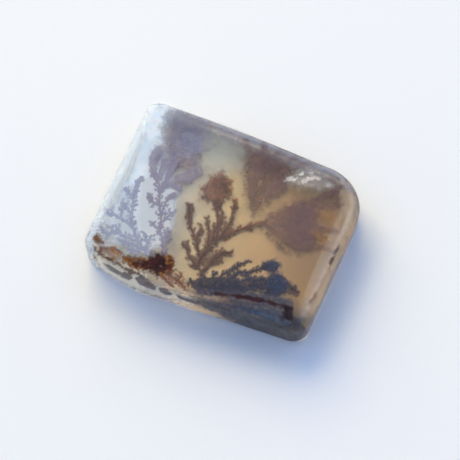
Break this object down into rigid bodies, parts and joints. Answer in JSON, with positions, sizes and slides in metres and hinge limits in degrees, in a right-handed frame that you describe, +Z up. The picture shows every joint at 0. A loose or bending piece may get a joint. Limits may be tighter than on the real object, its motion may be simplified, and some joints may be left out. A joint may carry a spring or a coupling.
{
  "type": "dendritic agate specimen",
  "caption": "Flat polished free-form tablet of translucent agate with rolled edges, a low domed top and a flat base to rest on.",
  "frame": {"origin": "middle of the flat base, under the middle of the stone's bounding box", "axes": "+X along the stone's long side, +Y towards its long back side, +Z up out of the polished top"},
  "size_m": [0.0376, 0.0292, 0.006],
  "materials": {
    "chalcedony": "translucent honey to bluish-white chalcedony, high polish",
    "dendrite": "brown-black manganese and iron oxide ferns inside the stone"
  },
  "bodies": {
    "root": {"agate_tablet": "chalcedony"}
  },
  "joints": []
}
